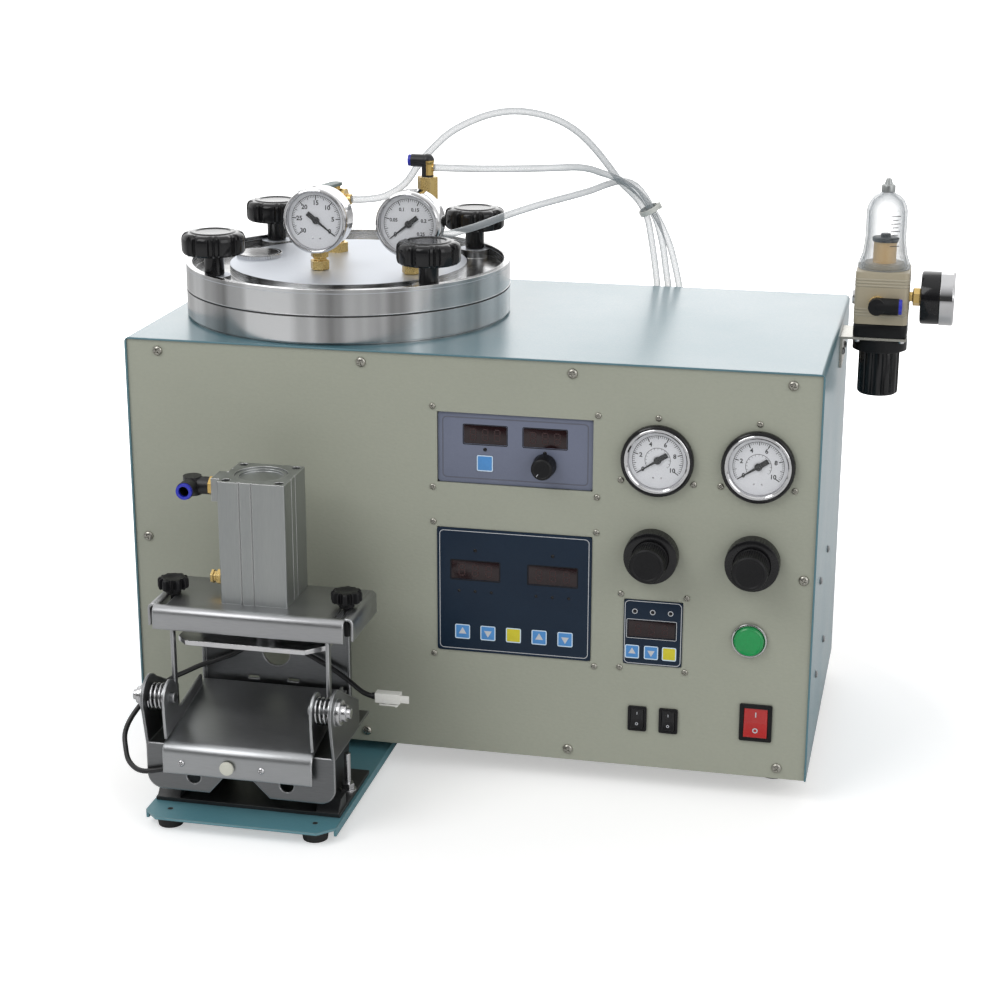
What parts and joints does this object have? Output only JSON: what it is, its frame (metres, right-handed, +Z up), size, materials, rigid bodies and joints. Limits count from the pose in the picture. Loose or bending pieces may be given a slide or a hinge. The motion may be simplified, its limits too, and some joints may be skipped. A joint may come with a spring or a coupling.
{
  "type": "wax injector",
  "caption": "Bench wax injector: heated wax pot under a bolted lid, air-driven mould clamp at its nozzle, control panel and filter regulator.",
  "frame": {"origin": "centre of the machine's outline on the bench, hoses and cable left out", "axes": "+X to the right seen from the front, along the cabinet's width, +Y to the back, +Z up"},
  "size_m": [0.6384, 0.4691, 0.509],
  "materials": {
    "teal_paint": "satin hammer-free powder coat",
    "grey_paint": "satin paint",
    "black_rubber": "matte",
    "zinc_steel": "bright",
    "alu": "turned",
    "brass": "polished",
    "black_plastic": "moulded",
    "grey_plastic": "printed film",
    "panel_film": "printed film",
    "steel": "brushed",
    "grey_cast": "smooth paint",
    "clear_plastic": "clear",
    "filter_white": "sintered",
    "needle_black": "painted",
    "green_plastic": "moulded",
    "red_plastic": "moulded",
    "white_plastic": "moulded",
    "chrome": "polished",
    "lever_grey": "dipped",
    "black_paint": "satin",
    "dark_steel": "brushed",
    "cable_black": "matte"
  },
  "bodies": {
    "cabinet": {"cover": "teal_paint", "front_panel": "grey_paint", "chassis": "grey_paint", "rubber_feet": "black_rubber", "screws": "zinc_steel", "wax_pot": "alu", "pot_heater": "brass", "nozzle": "brass", "control_unit": "grey_paint", "air_valves": "brass", "forward_cylinder": "alu", "panel_gauges": "black_plastic", "pressure_panel": "grey_plastic", "controller_panels": "panel_film", "regulator_collars": "black_plastic", "switch_bezels": "black_plastic", "filter_bracket": "steel", "filter_body": "grey_cast", "filter_bowl": "clear_plastic", "filter_element": "filter_white", "filter_gauge": "black_plastic", "base_plate": "teal_paint"},
    "lid_group": {"lid": "alu", "lid_gauges": "chrome", "lid_fittings": "brass", "relief_hose": "clear_plastic", "vacuum_hose": "clear_plastic", "pressure_hose": "clear_plastic", "hose_tie": "white_plastic"},
    "carriage": {"slide_plate": "black_paint", "clamp_frame": "steel", "pivot_springs": "steel", "top_bracket": "steel", "clamp_cylinder": "alu", "cable": "cable_black", "connector": "white_plastic"},
    "forward_pointer": {"forward_needle": "needle_black"},
    "clamp_pointer": {"clamp_needle": "needle_black"},
    "filter_pointer": {"filter_needle": "needle_black"},
    "pressure_dial": {"pressure_knob": "black_plastic"},
    "forward_regulator": {"forward_regulator_knob": "black_plastic"},
    "clamp_regulator": {"clamp_regulator_knob": "black_plastic"},
    "start_button": {"green_button": "green_plastic"},
    "forward_switch": {"forward_rocker": "black_plastic"},
    "clamp_switch": {"clamp_rocker": "black_plastic"},
    "power_switch": {"power_rocker": "red_plastic"},
    "filter_adjuster": {"filter_knob": "black_plastic"},
    "bowl_drain": {"drain_knob": "black_plastic"},
    "hand_knob_front_left": {"lid_knob_front_left": "black_plastic"},
    "hand_knob_back_left": {"lid_knob_back_left": "black_plastic"},
    "hand_knob_front_right": {"lid_knob_front_right": "black_plastic"},
    "hand_knob_back_right": {"lid_knob_back_right": "black_plastic"},
    "vacuum_pointer": {"vacuum_needle": "needle_black"},
    "pot_pointer": {"pot_needle": "needle_black"},
    "relief_lever": {"valve_lever": "lever_grey"},
    "left_star": {"star_knob_left": "black_plastic"},
    "right_star": {"star_knob_right": "black_plastic"},
    "press": {"press_plate": "steel"},
    "mould_tray": {"tray": "dark_steel"},
    "mould_switch": {"tray_button": "white_plastic"}
  },
  "joints": [
    {"name": "lid_lift", "type": "slide", "parent": "cabinet", "child": "lid_group", "axis": [0, 0, 1], "range_m": [0, 0.06], "deforming": ["relief_hose", "vacuum_hose", "pressure_hose", "hose_tie"]},
    {"name": "carriage_slide", "type": "slide", "parent": "cabinet", "child": "carriage", "axis": [0, 1, 0], "range_m": [0, 0.025]},
    {"name": "press_slide", "type": "slide", "parent": "carriage", "child": "press", "axis": [0, 0, 1], "range_m": [-0.036, 0]},
    {"name": "tray_tilt", "type": "hinge", "parent": "carriage", "child": "mould_tray", "pos_m": [-0.18525, -0.2075, 0.101], "axis": [1, 0, 0], "range_deg": [-8, 0], "deforming": ["cable"]},
    {"name": "mould_switch_press", "type": "slide", "parent": "mould_tray", "child": "mould_switch", "axis": [0, 1, 0], "range_m": [0, 0.0015], "stiffness_N_per_m": 300, "springref_m": -0.001},
    {"name": "hand_knob_front_left_turn", "type": "hinge", "parent": "lid_group", "child": "hand_knob_front_left", "pos_m": [-0.26306, -0.01896, 0.41], "axis": [0, 0, 1], "continuous": true},
    {"name": "hand_knob_back_left_turn", "type": "hinge", "parent": "lid_group", "child": "hand_knob_back_left", "pos_m": [-0.26306, 0.14096, 0.41], "axis": [0, 0, 1], "continuous": true},
    {"name": "hand_knob_front_right_turn", "type": "hinge", "parent": "lid_group", "child": "hand_knob_front_right", "pos_m": [-0.08544, -0.01896, 0.41], "axis": [0, 0, 1], "continuous": true},
    {"name": "hand_knob_back_right_turn", "type": "hinge", "parent": "lid_group", "child": "hand_knob_back_right", "pos_m": [-0.08544, 0.14096, 0.41], "axis": [0, 0, 1], "continuous": true},
    {"name": "vacuum_pointer_turn", "type": "hinge", "parent": "lid_group", "child": "vacuum_pointer", "pos_m": [-0.18675, 0.0065, 0.4305], "axis": [0, 1, 0], "range_deg": [-270, 0]},
    {"name": "pot_pointer_turn", "type": "hinge", "parent": "lid_group", "child": "pot_pointer", "pos_m": [-0.10975, 0.0065, 0.4305], "axis": [0, 1, 0], "range_deg": [0, 270]},
    {"name": "relief_lever_turn", "type": "hinge", "parent": "lid_group", "child": "relief_lever", "pos_m": [-0.19625, 0.1005, 0.445], "axis": [0, 0, 1], "range_deg": [0, 90]},
    {"name": "forward_pointer_turn", "type": "hinge", "parent": "cabinet", "child": "forward_pointer", "pos_m": [0.10745, -0.0775, 0.274], "axis": [0, 1, 0], "range_deg": [0, 270]},
    {"name": "clamp_pointer_turn", "type": "hinge", "parent": "cabinet", "child": "clamp_pointer", "pos_m": [0.18395, -0.0775, 0.274], "axis": [0, 1, 0], "range_deg": [0, 270]},
    {"name": "filter_pointer_turn", "type": "hinge", "parent": "cabinet", "child": "filter_pointer", "pos_m": [0.31875, 0.1125, 0.37], "axis": [-1, 0, 0], "range_deg": [0, 270]},
    {"name": "pressure_dial_turn", "type": "hinge", "parent": "cabinet", "child": "pressure_dial", "pos_m": [0.01975, -0.0775, 0.2636], "axis": [0, 1, 0], "range_deg": [0, 270]},
    {"name": "forward_regulator_turn", "type": "hinge", "parent": "cabinet", "child": "forward_regulator", "pos_m": [0.10505, -0.0775, 0.1983], "axis": [0, 1, 0], "range_deg": [-720, 720]},
    {"name": "clamp_regulator_turn", "type": "hinge", "parent": "cabinet", "child": "clamp_regulator", "pos_m": [0.18275, -0.0775, 0.1983], "axis": [0, 1, 0], "range_deg": [-720, 720]},
    {"name": "start_button_press", "type": "slide", "parent": "cabinet", "child": "start_button", "axis": [0, 1, 0], "range_m": [0, 0.003], "stiffness_N_per_m": 300, "springref_m": -0.001},
    {"name": "forward_switch_rock", "type": "hinge", "parent": "cabinet", "child": "forward_switch", "pos_m": [0.09645, -0.0745, 0.061], "axis": [1, 0, 0], "range_deg": [0, 18]},
    {"name": "clamp_switch_rock", "type": "hinge", "parent": "cabinet", "child": "clamp_switch", "pos_m": [0.12115, -0.0745, 0.061], "axis": [1, 0, 0], "range_deg": [0, 18]},
    {"name": "power_switch_rock", "type": "hinge", "parent": "cabinet", "child": "power_switch", "pos_m": [0.18975, -0.0745, 0.066], "axis": [1, 0, 0], "range_deg": [0, 18]},
    {"name": "filter_adjuster_turn", "type": "hinge", "parent": "cabinet", "child": "filter_adjuster", "pos_m": [0.26175, 0.1125, 0.31], "axis": [0, 0, 1], "range_deg": [-720, 720]},
    {"name": "bowl_drain_turn", "type": "hinge", "parent": "cabinet", "child": "bowl_drain", "pos_m": [0.26175, 0.1125, 0.46], "axis": [0, 0, 1], "range_deg": [0, 180]},
    {"name": "left_star_turn", "type": "hinge", "parent": "carriage", "child": "left_star", "pos_m": [-0.25475, -0.1595, 0.17], "axis": [0, 0, 1], "continuous": true},
    {"name": "right_star_turn", "type": "hinge", "parent": "carriage", "child": "right_star", "pos_m": [-0.11575, -0.1595, 0.17], "axis": [0, 0, 1], "continuous": true}
  ]
}
